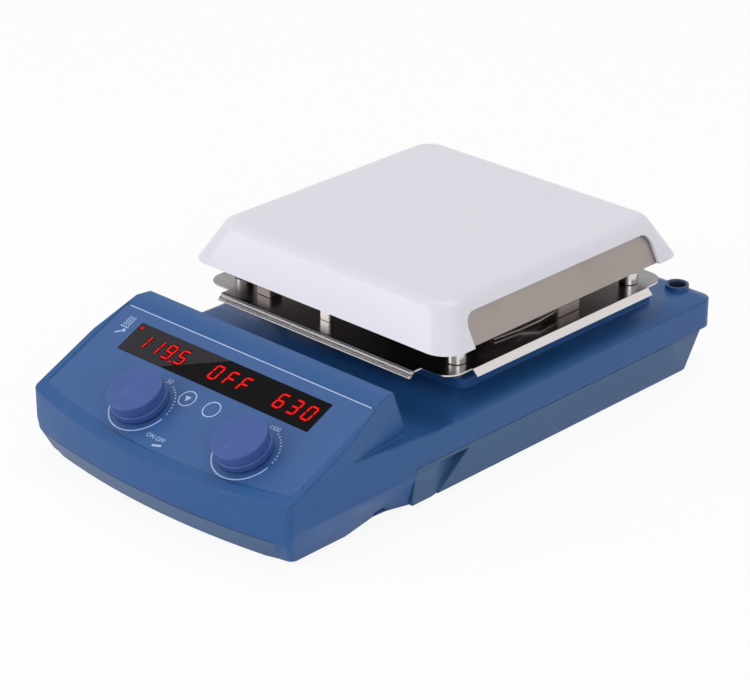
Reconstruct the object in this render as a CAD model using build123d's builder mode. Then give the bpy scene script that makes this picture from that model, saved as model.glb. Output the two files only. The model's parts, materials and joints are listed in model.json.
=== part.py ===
from build123d import *
import math
import os

os.makedirs("parts", exist_ok=True)

# Laboratory hotplate stirrer, in millimetres.
# X runs to the right, Y to the back, Z up. The origin is on the bench, under the middle of the body.

# Outer body
body_half = 107.5
body_back = 192.25
base_bottom = 2.0
wall = 3.0
seam_gap = 0.3
part_gap = 0.3
front_radius = 500.0
front_centre_y = -body_back + front_radius
corner_round = 4.5

# Foot of the body: the walls lean in below these heights
cheek_lean_top = 22.0
cheek_lean = 5.6
cheek_back = -81.5
cheek_thickness = 9.0
band_top = 15.4
band_lean = 6.2
parting_z = 26.6
side_lean = 2.9
rear_lean = 21.4
rear_lower_y = 190.0
facet_start_y = 149.0
facet_foot_y = 165.0
facet_depth = 6.5

# Shallow scoop behind each cheek
scoop_top = 24.0
scoop_depth = 8.0
scoop_back_top = -36.0
scoop_back_foot = -60.0

# Deck behind the panel head
shoulder_z = 44.5
deck_z = 48.3
deck_inset = 8.3
deck_front = -38.5
deck_front_foot = -52.0
rear_corner = 10.0
deck_corner = 4.0
pad_half = body_half - 20.5
pad_front = -21.5
pad_back = 156.0
pad_height = 5.3
pad_corner = 6.0
pad_z = deck_z + pad_height

# Panel head
panel_angle = 24.74
panel_y = -147.0
panel_z = 56.01
panel_slope = math.tan(math.radians(panel_angle))
ridge_z = 76.5
ridge_back_y = -93.0
ridge_foot_y = -79.0
ridge_round = 4.0
head_taper_start = -133.0
head_back_half = body_half - 10
head_corner = 6.0
ledge_tip_z = 49.3
ledge_mid_y = -95.0
ledge_mid_z = 46.5
ledge_back_y = -62.0
recess_half = body_half - 4.5
recess_top = 41.4
recess_side_foot = -29.9
recess_mid_foot = -41.3
recess_depth = 1.0
recess_corner = 3.0

# Front panel fittings, placed by distance across (u) and up the slope (v)
overlay_thickness = 0.6
window_u = -2.1
window_v = 21.6
window_width = 2 * (body_half - 28.6)
window_height = 22.3
window_thickness = 0.9
window_ledge = 3.0
knob_places = {"temperature": (-32.3, -16.8), "speed": (53.8, -16.8)}
key_places = {"select": (-8.9, -1.4), "timer": (11.2, -1.5)}
key_radius = 4.9
key_travel = 0.4
key_rise = 0.1
switch_size = 6.2
switch_height = 4.2
push_travel = 0.6
bushing_radius = 3.5
rotor_radius = 3.0
shaft_radius = 2.5
shaft_flat = 0.6
encoder_size = 13.0
running_gap = 0.05
nut_across = 11.0
nut_height = 2.0
board_depth = 12.0
board_thickness = 1.6
board_width = 2 * (body_half - 12.5)
board_length = 66.0
board_v = 2.5
module_shares = [(-0.304, 0.29), (0.019, 0.24), (0.317, 0.24)]
board_post = 3.0
board_hole = 1.2
board_edge = 5.0

# Knob
knob_radius = 17.0
knob_height = 13.1
knob_lift = 0.9
knob_skirt_height = 5.2
knob_wall = 2.4
knob_edge = 1.2
dimple_radius = 4.5
dimple_depth = 0.7
dimple_reach = 8.3
dimple_turn = {"temperature": 214.0, "speed": 246.0}

# Plate, its pan and the parts that carry them
plate_y = 50.9
rim_z = 85.1
plate_height = 25.4
plate_top = rim_z + plate_height
rim_half = body_half - 0.2
top_half = rim_half - 13.3
plate_corner = 15.9
plate_round = 0.394 * plate_height
plate_thickness = 4.0
skirt_wall = 2.0
side_window_half = rim_half - 24
side_window_top = plate_top - 7.1
side_window_corner = 8.0
pan_wall = 1.2
pan_top = plate_top - 5.9
post_radius = 6.0
post_edge = 0.5
post_groove = 0.8
post_x = rim_half - 19.3
post_reach = rim_half - 29.3
plate_screw_radius = 2.0
heater_half = rim_half - 23.3
heater_corner = 6.0
heater_thickness = 2.2
sensor_radius = 2.0
sensor_length = 34.0

# Heat shield under the plate
shield_top = 69.3
shield_sheet = 1.0
shield_half = rim_half - 5.3
shield_front = rim_half - 2.3
shield_corner_half = rim_half - 6.3
shield_corner = 12.0
shield_back_half = rim_half - 8.3
flange_half = rim_half - 27.8
flange_drop = 3.8
standoff_radius = 5.0
standoff_x = rim_half - 31.3
standoff_reach = rim_half - 41.3

# Stirring drive
motor_radius = 31.0
motor_height = 26.0
motor_top = 42.0
bracket_thickness = 2.0
bracket_half = 42.0
bracket_post = 34.0
drive_radius = 3.0
yoke_z = 73.0
yoke_thickness = 3.0
yoke_length = 96.0
yoke_width = 22.0
magnet_radius = 10.0
magnet_height = 7.0
magnet_reach = 36.0
hub_radius = 9.0

# Support rod socket
socket_x = body_half - 21
socket_y = 180.0
socket_collar = 7.5
socket_collar_height = 3.0
socket_bore = 5.25
socket_depth = 17.0
socket_insert = 6.5

# Rear connector panel
bay_left = 28.5 - body_half
bay_right = body_half - 41.5
bay_front = 150.0
bay_frame = 4.0
rear_panel_bottom = 8.0
rear_panel_top = 40.0
rear_panel_thickness = 2.0
inlet_x = -45.0
inlet_width = 27.0
inlet_height = 19.8
inlet_depth = 24.0
inlet_pocket = 16.0
switch_x = -10.0
switch_width = 15.0
switch_tall = 21.0
switch_depth = 20.0
rocker_width = 11.5
rocker_tall = 16.0
rocker_setback = 7.6
rocker_reach = 5.0
rocker_tilt = 8.0
rocker_pin = 1.6
rocker_pin_reach = 1.2
fuse_x = 16.0
fuse_radius = 6.5
fuse_depth = 30.0
probe_x = 40.0
probe_radius = 8.0
probe_depth = 14.0
probe_pocket = 7.0

# Feet, screws and boards in the base
foot_radius = 8.0
foot_pocket = 1.5
foot_ways = [(body_half - 25.5, -150), (body_half - 19.5, 140)]
foot_places = [(side * x, y) for x, y in foot_ways for side in (-1, 1)]
screw_ways = [(body_half - 27.5, -68), (body_half - 14.5, 20), (body_half - 15.5, 152)]
screw_places = [(side * x, y) for x, y in screw_ways for side in (-1, 1)]
screw_radius = 1.95
screw_head_radius = 3.7
screw_head = 1.6
screw_length = 14.0
boss_radius = 4.5
power_board_y = -34.0
power_board_width = 2 * (body_half - 35.5)
power_board_length = 70.0
power_board_z = 9.0
transformer_in = 26.0
transformer_width = 38.0
transformer_length = 44.0
transformer_height = 24.0
sink_in = 32.0
sink_fins = 9
sink_pitch = 5.0
sink_web = 4.0
sink_fin = 1.6
sink_length = 24.0
sink_height = 22.0
vent_count = 9
vent_pitch = 9.0
vent_length = 44.0
vent_width = 3.2

floor_top = base_bottom + wall
panel = Plane(origin=(0, panel_y, panel_z), x_dir=(1, 0, 0),
              z_dir=(0, -math.sin(math.radians(panel_angle)), math.cos(math.radians(panel_angle))))


def finish(name, builder):
    """Label a finished piece and write it to its own file."""
    builder.part.label = name
    export_step(builder.part, f"parts/{name}.step")


def panel_at(y):
    """Height of the panel rim at a given distance back."""
    return panel_z + (y - panel_y) * panel_slope


def front_y(x, inset):
    """The bowed front face, moved in by the inset."""
    return front_centre_y - math.sqrt((front_radius - inset) ** 2 - x ** 2)


def bowed_outline(back_half, taper_y, back_y, back_corner, inset):
    """Plan of the head: bowed front, straight sides, and sides that may draw in to the back."""
    side = body_half - inset
    rear = back_half - inset
    back = back_y - inset
    corner_y = front_y(side, inset)
    with BuildSketch() as outline:
        with BuildLine():
            ThreePointArc((-side, corner_y), (0, front_y(0, inset)), (side, corner_y))
            Polyline((side, corner_y), (side, taper_y), (rear, back), (-rear, back), (-side, taper_y),
                     (-side, corner_y))
        make_face()
        fillet(outline.vertices().group_by(Axis.Y)[0], radius=corner_round)
        if back_corner:
            fillet(outline.vertices().group_by(Axis.Y)[-1], radius=back_corner)
    return outline.sketch


def head_block(inset):
    """The wedge that carries the panel, with sides that draw in towards its back."""
    ridge_front = panel_y + (ridge_z - panel_z) / panel_slope
    with BuildPart() as block:
        with BuildSketch(Plane.YZ) as profile:
            with BuildLine():
                Polyline((-body_back, base_bottom), (-body_back, panel_at(-body_back)),
                         (ridge_front, ridge_z), (ridge_back_y, ridge_z),
                         (ridge_foot_y, shoulder_z), (ridge_foot_y, base_bottom), close=True)
            make_face()
            ridge = profile.vertices().sort_by(Axis.Y)[2:4]
            fillet(ridge, radius=ridge_round)
            if inset:
                offset(amount=-inset, kind=Kind.INTERSECTION)
        extrude(amount=body_half, both=True)
        with BuildSketch(Plane.XY):
            add(bowed_outline(head_back_half, head_taper_start, ridge_foot_y + wall, head_corner, inset))
        extrude(amount=ridge_z + wall, mode=Mode.INTERSECT)
    return block.part


def base_block(inset):
    """The full-width block under the head, with leaning cheeks and a leaning front band."""
    reach = front_radius - inset
    side = body_half - inset
    with BuildPart() as block:
        with BuildSketch(Plane.YZ):
            with BuildLine():
                Polyline((-body_back, base_bottom), (-body_back, panel_at(-body_back)),
                         (head_taper_start, ledge_tip_z), (ledge_mid_y, ledge_mid_z),
                         (ledge_back_y, shoulder_z), (ledge_back_y, base_bottom), close=True)
            make_face()
            if inset:
                offset(amount=-inset, kind=Kind.INTERSECTION)
        extrude(amount=body_half, both=True)
        with BuildSketch(Plane.XY):
            add(bowed_outline(body_half, head_taper_start, ledge_back_y + wall, 0, inset))
        extrude(amount=ridge_z, mode=Mode.INTERSECT)
        with BuildSketch(Plane.XZ.offset(-ledge_back_y)):
            with BuildLine():
                Polyline((side, cheek_lean_top), (side - cheek_lean, base_bottom),
                         (body_half + wall, base_bottom), (body_half + wall, cheek_lean_top), close=True)
            make_face()
            mirror(about=Plane.YZ)
        extrude(amount=body_back, mode=Mode.SUBTRACT)
        start = Plane(origin=(0, front_centre_y, 0), x_dir=(0, -1, 0), z_dir=(-1, 0, 0)).rotated((0, 0, -15))
        with BuildSketch(start):
            with BuildLine():
                Polyline((reach, band_top), (reach - band_lean, base_bottom),
                         (reach + 2 * wall, base_bottom), (reach + 2 * wall, band_top), close=True)
            make_face()
        revolve(axis=Axis((0, front_centre_y, 0), (0, 0, 1)), revolution_arc=30, mode=Mode.SUBTRACT)
    return block.part


def rear_outline(half, facet_x, facet_y, back_y):
    """Plan of the rear tray: straight sides and a slanted facet at each rear corner."""
    with BuildSketch() as outline:
        with BuildLine():
            Polyline((-half, cheek_back), (half, cheek_back), (half, facet_y), (facet_x, back_y),
                     (-facet_x, back_y), (-half, facet_y), close=True)
        make_face()
    return outline.sketch


def rear_band(half, front, back, corner):
    """Plan of the deck, and of the foot of the slope around it."""
    with BuildSketch() as outline:
        with BuildLine():
            Polyline((half - corner, back), (-half + corner, back))
            RadiusArc((-half + corner, back), (-half, back - corner), -corner)
            Polyline((-half, back - corner), (-half, front), (half, front), (half, back - corner))
            RadiusArc((half, back - corner), (half - corner, back), -corner)
        make_face()
    return outline.sketch


def rear_block(inset):
    """The long tray behind the head: leaning lower walls, upright upper walls, deck and raised pad."""
    foot_half = body_half - side_lean - inset
    foot_back = rear_lower_y - rear_lean - inset
    facet_share = (foot_back + inset - facet_foot_y) / (rear_lower_y - facet_start_y)
    side = body_half - inset
    with BuildPart() as block:
        with BuildSketch(Plane.XY.offset(base_bottom)):
            add(rear_outline(foot_half, foot_half - facet_depth * facet_share, facet_foot_y - inset, foot_back))
        with BuildSketch(Plane.XY.offset(parting_z)):
            add(rear_outline(side, side - facet_depth, facet_start_y - inset, rear_lower_y - inset))
        loft(ruled=True)
        with BuildSketch(Plane.XY.offset(base_bottom)):
            with BuildLine():
                Polyline((bay_left + inset, bay_front), (bay_right - inset, bay_front),
                         (bay_right - inset, body_back - inset), (bay_left + inset, body_back - inset),
                         close=True)
            make_face()
        extrude(amount=parting_z - base_bottom)
        with BuildSketch(Plane.XY.offset(parting_z)) as upright:
            with BuildLine():
                Polyline((-side, cheek_back), (side, cheek_back), (side, body_back - inset),
                         (-side, body_back - inset), close=True)
            make_face()
            fillet(upright.vertices().group_by(Axis.Y)[-1], radius=rear_corner)
        extrude(amount=shoulder_z - inset - parting_z)
        with BuildSketch(Plane.XY.offset(shoulder_z - inset)):
            add(rear_band(side, deck_front_foot + inset, body_back - inset, rear_corner))
        with BuildSketch(Plane.XY.offset(deck_z - inset)):
            add(rear_band(side - deck_inset, deck_front + inset, body_back - deck_inset - inset,
                          deck_corner))
        loft(ruled=True)
        with BuildSketch(Plane.XY.offset(deck_z - inset)):
            with Locations((0, (pad_front + pad_back) / 2)):
                RectangleRounded(2 * (pad_half - inset), pad_back - pad_front - 2 * inset, pad_corner)
        extrude(amount=pad_height)
        add(scoop_cutter(inset), mode=Mode.SUBTRACT)
    return block.part


def scoop_cutter(inset):
    """The shallow scoop between each cheek and the leaning side wall."""
    rise = scoop_depth / (scoop_back_top - cheek_back)
    deep_y = scoop_back_top + 2 * inset
    deep_x = body_half - inset - rise * (deep_y - cheek_back)
    outside = body_half + 2 * wall
    with BuildPart() as cutter:
        with BuildSketch(Plane.XY.offset(base_bottom)):
            with BuildLine():
                Polyline((body_half - inset, cheek_back), (deep_x, deep_y), (outside, deep_y),
                         (outside, cheek_back), close=True)
            make_face()
            mirror(about=Plane.YZ)
        extrude(amount=scoop_top - base_bottom + inset)
        with BuildSketch(Plane.YZ):
            with BuildLine():
                Polyline((cheek_back, base_bottom), (cheek_back, scoop_top + inset),
                         (scoop_back_top + inset, scoop_top + inset),
                         (scoop_back_foot + inset, base_bottom), close=True)
            make_face()
        extrude(amount=2 * body_half, both=True, mode=Mode.INTERSECT)
    return cutter.part


def lower_region(grow):
    """The space that the lower shell takes up, grown by half the seam for the upper housing's cut."""
    inner_half = body_half - cheek_thickness
    with BuildPart() as region:
        with BuildSketch(Plane.XY):
            Rectangle(4 * body_half, 4 * body_half)
        extrude(amount=parting_z + grow)
        with BuildSketch(Plane.XY):
            with Locations((0, cheek_back - grow)):
                Rectangle(4 * body_half, 4 * body_half, align=(Align.CENTER, Align.MAX))
        extrude(amount=parting_z + grow, mode=Mode.SUBTRACT)
        with BuildSketch(Plane.XY):
            with Locations((0, ledge_back_y)):
                Rectangle(2 * (inner_half + grow), 4 * body_half, align=(Align.CENTER, Align.MAX))
        extrude(amount=band_top + grow)
    return region.part


# The body is one outer form, hollowed by the same form moved in by the wall.
with BuildPart() as outer_form:
    add(head_block(0))
    add(base_block(0))
    add(rear_block(0))

with BuildPart() as inner_form:
    add(head_block(wall))
    add(base_block(wall))
    add(rear_block(wall))
    with BuildSketch(Plane.XY):
        Rectangle(4 * body_half, 4 * body_half)
    extrude(amount=floor_top, mode=Mode.SUBTRACT)

with BuildPart() as body_shell:
    add(outer_form.part)
    add(inner_form.part, mode=Mode.SUBTRACT)

# Upper housing: head, deck and pad, with the openings of the panel and the bosses under the deck
panel_opening_width = window_width - 2 * window_ledge
panel_opening_height = window_height - 2 * window_ledge
bay_mid = ((bay_left + bay_right) / 2, (rear_panel_bottom + rear_panel_top) / 2)
bay_width = bay_right - bay_left - 2 * bay_frame
bay_height = rear_panel_top - rear_panel_bottom
with BuildPart() as upper_housing:
    add(body_shell.part)
    add(lower_region(seam_gap / 2), mode=Mode.SUBTRACT)
    with BuildSketch(panel.offset(-recess_depth)) as recess:
        with BuildLine():
            ThreePointArc((-recess_half, recess_side_foot), (0, recess_mid_foot),
                          (recess_half, recess_side_foot))
            Polyline((recess_half, recess_side_foot), (recess_half, recess_top),
                     (-recess_half, recess_top), (-recess_half, recess_side_foot))
        make_face()
        fillet(recess.vertices(), radius=recess_corner)
    extrude(amount=2 * recess_depth, mode=Mode.SUBTRACT)
    with BuildSketch(panel):
        with Locations((window_u, window_v)):
            Rectangle(panel_opening_width, panel_opening_height)
        with Locations(list(knob_places.values())):
            Circle(bushing_radius + part_gap)
        with Locations(list(key_places.values())):
            Circle(key_radius - 1)
    extrude(amount=-2 * wall, mode=Mode.SUBTRACT)
    with BuildSketch(panel.offset(-board_depth)):
        with Locations((0, board_v)):
            with GridLocations(board_width - 2 * board_edge, board_length - 2 * board_edge, 2, 2):
                Circle(board_post)
    extrude(amount=board_depth - recess_depth - wall / 2)
    for place in screw_places:
        with BuildSketch(Plane.XY.offset(floor_top + part_gap)):
            with Locations(place):
                Circle(boss_radius)
        ceiling = deck_z if place[1] > deck_front else shoulder_z
        extrude(amount=ceiling - wall / 2 - floor_top - part_gap)
    with BuildSketch(Plane.XY.offset(floor_top + part_gap)):
        with Locations(screw_places):
            Circle(screw_radius + running_gap)
    extrude(amount=screw_length, mode=Mode.SUBTRACT)
    with BuildSketch(Plane.XY.offset(motor_top + bracket_thickness)):
        with Locations((0, plate_y)):
            with GridLocations(2 * bracket_post, 2 * bracket_post, 2, 2):
                Circle(boss_radius)
    extrude(amount=pad_z - wall / 2 - motor_top - bracket_thickness)
    with BuildSketch(Plane.XY.offset(pad_z)):
        with Locations((0, plate_y)):
            Circle(drive_radius + 2)
    extrude(amount=-2 * wall, mode=Mode.SUBTRACT)
    with BuildSketch(Plane.XY.offset(deck_z - socket_depth - wall)):
        with Locations((socket_x, socket_y)):
            Circle(socket_collar)
    extrude(amount=socket_depth + wall + socket_collar_height)
    with BuildSketch(Plane.XY.offset(deck_z + socket_collar_height)):
        with Locations((socket_x, socket_y)):
            Circle(socket_insert + running_gap)
    extrude(amount=-socket_depth - socket_collar_height, mode=Mode.SUBTRACT)
    with BuildSketch(Plane.XZ.offset(-body_back - 1)):
        with Locations(bay_mid):
            Rectangle(bay_width - 2 * bay_frame, bay_height - bay_frame)
    extrude(amount=1 + 2 * wall, mode=Mode.SUBTRACT)
    with BuildSketch(Plane.XZ.offset(-body_back - 1)):
        with Locations(bay_mid):
            Rectangle(bay_width, bay_height)
    extrude(amount=1 + rear_panel_thickness, mode=Mode.SUBTRACT)
finish("upper_housing", upper_housing)

# Lower shell: base tray with the front band, vents, foot pockets and screw holes
with BuildPart() as lower_shell:
    add(body_shell.part)
    add(lower_region(-seam_gap / 2), mode=Mode.INTERSECT)
    with BuildSketch(Plane.XY.offset(floor_top - wall / 2)):
        with Locations((0, power_board_y)):
            with GridLocations(power_board_width - 2 * board_edge, power_board_length - 2 * board_edge, 2, 2):
                Circle(board_post)
    extrude(amount=power_board_z - floor_top + wall / 2)
    with BuildSketch(Plane.XY):
        with Locations(screw_places):
            Circle(screw_radius + part_gap)
        with Locations((0, plate_y)):
            with GridLocations(vent_pitch, vent_pitch, vent_count, 1):
                SlotOverall(vent_length, vent_width, rotation=90)
    extrude(amount=floor_top + 1, mode=Mode.SUBTRACT)
    with BuildSketch(Plane.XY):
        with Locations(screw_places):
            Circle(screw_head_radius + part_gap)
    extrude(amount=base_bottom + screw_head, mode=Mode.SUBTRACT)
    with BuildSketch(Plane.XY):
        with Locations(foot_places):
            Circle(foot_radius + running_gap)
    extrude(amount=base_bottom + foot_pocket, mode=Mode.SUBTRACT)
    with BuildSketch(Plane.XZ.offset(-body_back - 1)):
        with Locations(bay_mid):
            Rectangle(bay_width - 2 * bay_frame, bay_height - bay_frame)
    extrude(amount=1 + 2 * wall, mode=Mode.SUBTRACT)
    with BuildSketch(Plane.XZ.offset(-body_back - 1)):
        with Locations(bay_mid):
            Rectangle(bay_width, bay_height)
    extrude(amount=1 + rear_panel_thickness, mode=Mode.SUBTRACT)
finish("lower_shell", lower_shell)

# Front panel: printed overlay sheet, smoked window and what stands behind them
with BuildPart() as panel_overlay:
    with BuildSketch(panel.offset(-recess_depth)):
        add(recess.sketch_local)
        offset(amount=-part_gap / 2)
        with Locations((window_u, window_v)):
            Rectangle(window_width + part_gap, window_height + part_gap, mode=Mode.SUBTRACT)
        with Locations(list(knob_places.values())):
            Circle(nut_across / 2 + 1, mode=Mode.SUBTRACT)
        with Locations(list(key_places.values())):
            Circle(key_radius + part_gap, mode=Mode.SUBTRACT)
    extrude(amount=overlay_thickness)
finish("panel_overlay", panel_overlay)

with BuildPart() as display_window:
    with BuildSketch(panel.offset(-recess_depth)):
        with Locations((window_u, window_v)):
            Rectangle(window_width, window_height)
    extrude(amount=window_thickness)
finish("display_window", display_window)

with BuildPart() as display_modules:
    with BuildSketch(panel.offset(-board_depth)):
        for place_share, width_share in module_shares:
            with Locations((window_u + place_share * window_width, window_v)):
                Rectangle(width_share * window_width, panel_opening_height - part_gap)
    extrude(amount=board_depth - recess_depth - part_gap)
finish("display_modules", display_modules)

with BuildPart() as display_board:
    with BuildSketch(panel.offset(-board_depth - board_thickness)):
        with Locations((0, board_v)):
            RectangleRounded(board_width, board_length, 2)
            with GridLocations(board_width - 2 * board_edge, board_length - 2 * board_edge, 2, 2):
                Circle(board_hole, mode=Mode.SUBTRACT)
    extrude(amount=board_thickness)
finish("display_board", display_board)

encoder_top = recess_depth + wall
with BuildPart() as encoder_bodies:
    with BuildSketch(panel.offset(-board_depth)):
        for place in knob_places.values():
            with Locations(place):
                Rectangle(encoder_size, encoder_size)
                Circle(rotor_radius + running_gap, mode=Mode.SUBTRACT)
    extrude(amount=board_depth - encoder_top)
    with BuildSketch(panel.offset(-encoder_top)):
        for place in knob_places.values():
            with Locations(place):
                Circle(bushing_radius)
                Circle(rotor_radius + running_gap, mode=Mode.SUBTRACT)
    extrude(amount=encoder_top + nut_height)
finish("encoder_bodies", encoder_bodies)

with BuildPart() as encoder_nuts:
    with BuildSketch(panel.offset(-recess_depth)):
        for place in knob_places.values():
            with Locations(place):
                RegularPolygon(nut_across / 2, 6, major_radius=False)
                Circle(bushing_radius + running_gap, mode=Mode.SUBTRACT)
    extrude(amount=nut_height)
finish("encoder_nuts", encoder_nuts)

with BuildPart() as key_switches:
    with BuildSketch(panel.offset(-board_depth)):
        with Locations(list(key_places.values())):
            RectangleRounded(switch_size, switch_size, 0.6)
    extrude(amount=switch_height)
finish("key_switches", key_switches)

# Turning parts of each knob: the sleeve turns in its bushing, the shaft and knob slide in the sleeve
knob_bore_top = knob_height - 3.5
rotor_foot = part_gap - board_depth
shaft_foot = rotor_foot + 1 + push_travel + part_gap
knob_ceiling = nut_height + 1.4
for name, (knob_u, knob_v) in knob_places.items():
    spot = panel.origin + panel.x_dir * knob_u + panel.y_dir * knob_v
    axle = Plane(origin=spot, x_dir=panel.x_dir, z_dir=panel.z_dir)
    with BuildPart() as rotor:
        with BuildSketch(axle.offset(rotor_foot)):
            Circle(rotor_radius)
        extrude(amount=nut_height - rotor_foot)
        with BuildSketch(axle.offset(rotor_foot + 1)):
            Circle(shaft_radius + running_gap)
        extrude(amount=nut_height - rotor_foot, mode=Mode.SUBTRACT)
    finish(f"{name}_rotor", rotor)

    with BuildPart() as shaft:
        with BuildSketch(axle.offset(shaft_foot)):
            Circle(shaft_radius)
        extrude(amount=knob_bore_top - part_gap - shaft_foot)
        with BuildSketch(axle.offset(knob_ceiling)):
            with Locations((0, shaft_radius)):
                Rectangle(2 * shaft_radius, shaft_flat * 2)
        extrude(amount=knob_bore_top, mode=Mode.SUBTRACT)
    finish(f"{name}_shaft", shaft)

    with BuildPart() as knob:
        with BuildSketch(Plane(origin=axle.origin, x_dir=axle.x_dir, z_dir=-axle.y_dir)):
            with BuildLine():
                cap_edge = knob_radius - knob_edge
                skirt = knob_radius + 0.2
                Line((0, knob_height), (cap_edge, knob_height))
                RadiusArc((cap_edge, knob_height), (knob_radius, knob_height - knob_edge), knob_edge)
                Polyline((knob_radius, knob_height - knob_edge), (knob_radius - 0.5, knob_skirt_height + 1),
                         (knob_radius - 1.0, knob_skirt_height + 0.9),
                         (knob_radius - 1.0, knob_skirt_height + 0.4),
                         (skirt - 0.6, knob_skirt_height + 0.4), (skirt, knob_skirt_height - 0.2),
                         (skirt - 0.7, knob_lift), (skirt - 0.7 - knob_wall, knob_lift),
                         (skirt - 0.9 - knob_wall, knob_ceiling), (0, knob_ceiling), (0, knob_height))
            make_face()
        revolve(axis=Axis(axle.origin, axle.z_dir))
        with BuildSketch(axle.offset(knob_ceiling)):
            Circle(shaft_radius + running_gap)
            with Locations((0, shaft_radius)):
                Rectangle(2 * shaft_radius, 2 * (shaft_flat - running_gap), mode=Mode.SUBTRACT)
        extrude(amount=knob_bore_top - knob_ceiling, mode=Mode.SUBTRACT)
        turn = math.radians(dimple_turn[name])
        ball = (dimple_radius ** 2 + dimple_depth ** 2) / (2 * dimple_depth)
        dimple = (axle.origin + axle.x_dir * dimple_reach * math.cos(turn)
                  + axle.y_dir * dimple_reach * math.sin(turn)
                  + axle.z_dir * (knob_height + ball - dimple_depth))
        with Locations(dimple):
            Sphere(ball, mode=Mode.SUBTRACT)
    finish(f"{name}_knob", knob)

key_top = overlay_thickness - recess_depth + key_rise
key_underside = key_travel + part_gap / 2 - recess_depth
key_foot = switch_height + part_gap + key_travel - board_depth
for name, (key_u, key_v) in key_places.items():
    spot = panel.origin + panel.x_dir * key_u + panel.y_dir * key_v
    axle = Plane(origin=spot, x_dir=panel.x_dir, z_dir=panel.z_dir)
    with BuildPart() as key:
        with BuildSketch(axle.offset(key_underside)):
            Circle(key_radius)
        extrude(amount=key_top - key_underside)
        with BuildSketch(axle.offset(key_foot)):
            Circle(key_radius - 1 - part_gap)
        extrude(amount=key_underside - key_foot)
    finish(f"{name}_key", key)

# Plate: a skirted lid over a pan that holds the heater
rim_lean = (rim_half - top_half) / (plate_top - rim_z)


def lid_half(z, inset):
    """Half width of the lid at a height, moved in by an inset."""
    return rim_half - rim_lean * (z - rim_z) - inset * math.hypot(1, rim_lean)


def skirt_block(low, high, inset):
    """A solid of the lid's leaning square form between two heights."""
    with BuildPart() as block:
        for z in (low, high):
            with BuildSketch(Plane.XY.offset(z)):
                with Locations((0, plate_y)):
                    RectangleRounded(2 * lid_half(z, inset), 2 * lid_half(z, inset), plate_corner - inset)
        loft(ruled=True)
    return block.part


with BuildPart() as plate_lid:
    add(skirt_block(rim_z, plate_top, 0))
    fillet(plate_lid.faces().sort_by(Axis.Z)[-1].edges(), radius=plate_round)
    add(skirt_block(rim_z, plate_top - plate_thickness, skirt_wall), mode=Mode.SUBTRACT)
    with BuildSketch(Plane.YZ) as side_window:
        with Locations((plate_y, rim_z)):
            Rectangle(2 * side_window_half, 2 * (side_window_top - rim_z))
        fillet(side_window.vertices(), radius=side_window_corner)
    extrude(amount=2 * rim_half, both=True, mode=Mode.SUBTRACT)
finish("plate_lid", plate_lid)

pan_inset = skirt_wall + part_gap
with BuildPart() as heater_pan:
    add(skirt_block(rim_z, pan_top, pan_inset))
    add(skirt_block(rim_z + pan_wall, pan_top, pan_inset + pan_wall), mode=Mode.SUBTRACT)
    with BuildSketch(Plane.XY.offset(rim_z)):
        with Locations((0, plate_y)):
            with GridLocations(2 * post_x, 2 * post_reach, 2, 2):
                Circle(plate_screw_radius + part_gap)
    extrude(amount=pan_wall, mode=Mode.SUBTRACT)
finish("heater_pan", heater_pan)

plate_underside = plate_top - plate_thickness
with BuildPart() as heating_element:
    with BuildSketch(Plane.XY.offset(plate_underside - heater_thickness)):
        with Locations((0, plate_y)):
            RectangleRounded(2 * heater_half, 2 * heater_half, heater_corner)
    extrude(amount=heater_thickness)
finish("heating_element", heating_element)

mat_top = plate_underside - heater_thickness
mat_foot = rim_z + pan_wall
with BuildPart() as insulation_mat:
    with BuildSketch(Plane.XY.offset(mat_foot)):
        with Locations((0, plate_y)):
            RectangleRounded(2 * heater_half, 2 * heater_half, heater_corner)
            with Locations((0, -heater_half)):
                Rectangle(2 * sensor_radius + 2, 2 * (sensor_length + part_gap), mode=Mode.SUBTRACT)
            with GridLocations(2 * post_x, 2 * post_reach, 2, 2):
                Circle(boss_radius + 4, mode=Mode.SUBTRACT)
    extrude(amount=mat_top - mat_foot)
finish("insulation_mat", insulation_mat)

with BuildPart() as temperature_sensor:
    with BuildSketch(Plane.XZ.offset(-plate_y + heater_half)):
        with Locations((0, mat_top - sensor_radius - part_gap)):
            Circle(sensor_radius)
    extrude(amount=-sensor_length)
    fillet(temperature_sensor.edges().sort_by(Axis.Y)[-1], radius=sensor_radius * 0.9)
finish("temperature_sensor", temperature_sensor)

post_foot = shield_top
with BuildPart() as plate_posts:
    for side in (-1, 1):
        for end in (-1, 1):
            stand = Plane(origin=(side * post_x, plate_y + end * post_reach, 0))
            with BuildSketch(Plane(origin=stand.origin, x_dir=(1, 0, 0), z_dir=(0, -1, 0))):
                with BuildLine():
                    mid = (post_foot + rim_z) / 2
                    Polyline((0, post_foot), (post_radius - post_edge, post_foot),
                             (post_radius, post_foot + post_edge), (post_radius, mid - post_edge),
                             (post_radius - post_groove, mid - post_edge),
                             (post_radius - post_groove, mid + post_edge), (post_radius, mid + post_edge),
                             (post_radius, rim_z - post_edge), (post_radius - post_edge, rim_z),
                             (0, rim_z), (0, post_foot))
                make_face()
            revolve(axis=Axis(stand.origin, (0, 0, 1)))
finish("plate_posts", plate_posts)

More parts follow.
